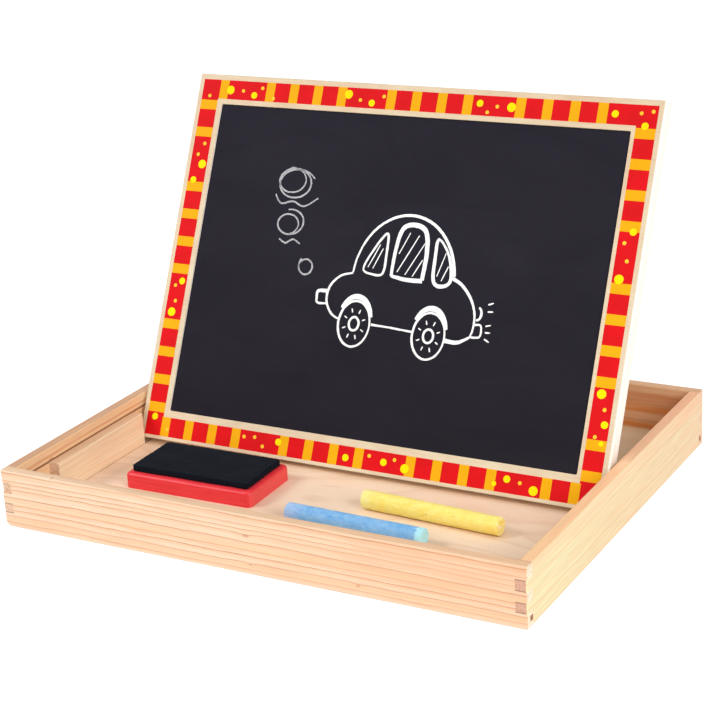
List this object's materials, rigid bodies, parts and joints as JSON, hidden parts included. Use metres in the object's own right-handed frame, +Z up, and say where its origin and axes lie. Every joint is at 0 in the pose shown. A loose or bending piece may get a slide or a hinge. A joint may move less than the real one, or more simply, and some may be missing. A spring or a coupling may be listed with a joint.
{
  "type": "kids easel",
  "caption": "Table-top kids easel: a finger-jointed wooden tray with a chalkboard leaning in a slot between rails, a felt eraser and chalk",
  "frame": {"origin": "centre of the tray's footprint on the table", "axes": "+X to the user's right along the tray's long side, +Y away from the user, +Z up"},
  "size_m": [0.3, 0.24, 0.2006],
  "materials": {
    "pine_front": "sanded bare pine, wavy horizontal grain",
    "pine_back": "sanded bare pine",
    "pine_left": "sanded bare pine",
    "pine_right": "sanded bare pine, pale",
    "plywood": "thin plywood with a broad swirling face veneer",
    "pine_rail": "sanded bare pine",
    "frame_wood": "pale smooth wood",
    "chalkboard": "matt blackboard paint on hardboard",
    "whiteboard": "smooth white dry-wipe coating on hardboard",
    "eraser_red": "red painted block, satin",
    "felt_black": "dense black wool felt",
    "chalk_yellow": "dusty yellow chalk",
    "chalk_blue": "dusty blue chalk",
    "border_red": "screen-printed red",
    "border_orange": "screen-printed orange",
    "border_yellow": "screen-printed yellow dots",
    "chalk_mark": "dry white chalk line"
  },
  "bodies": {
    "tray": {"tray_front_wall": "pine_front", "tray_back_wall": "pine_back", "tray_left_wall": "pine_left", "tray_right_wall": "pine_right", "tray_floor": "plywood", "rail_left_front": "pine_rail", "rail_left_rear": "pine_rail", "rail_right_front": "pine_rail", "rail_right_rear": "pine_rail"},
    "board": {"board_front_frame": "frame_wood", "board_back_frame": "frame_wood", "chalkboard_sheet": "chalkboard", "whiteboard_sheet": "whiteboard"},
    "eraser": {"eraser_block": "eraser_red", "eraser_felt": "felt_black"},
    "yellow_chalk": {"chalk_yellow": "chalk_yellow"},
    "blue_chalk": {"chalk_blue": "chalk_blue"}
  },
  "joints": [
    {"name": "board_lift", "type": "slide", "parent": "tray", "child": "board", "axis": [0, 0.4384, 0.8988], "range_m": [0, 0.06]},
    {"name": "eraser_lift", "type": "slide", "parent": "tray", "child": "eraser", "axis": [0, 0, 1], "range_m": [0, 0.045]},
    {"name": "chalk_yellow_lift", "type": "slide", "parent": "tray", "child": "yellow_chalk", "axis": [0, 0, 1], "range_m": [0, 0.045]},
    {"name": "chalk_blue_lift", "type": "slide", "parent": "tray", "child": "blue_chalk", "axis": [0, 0, 1], "range_m": [0, 0.045]}
  ]
}
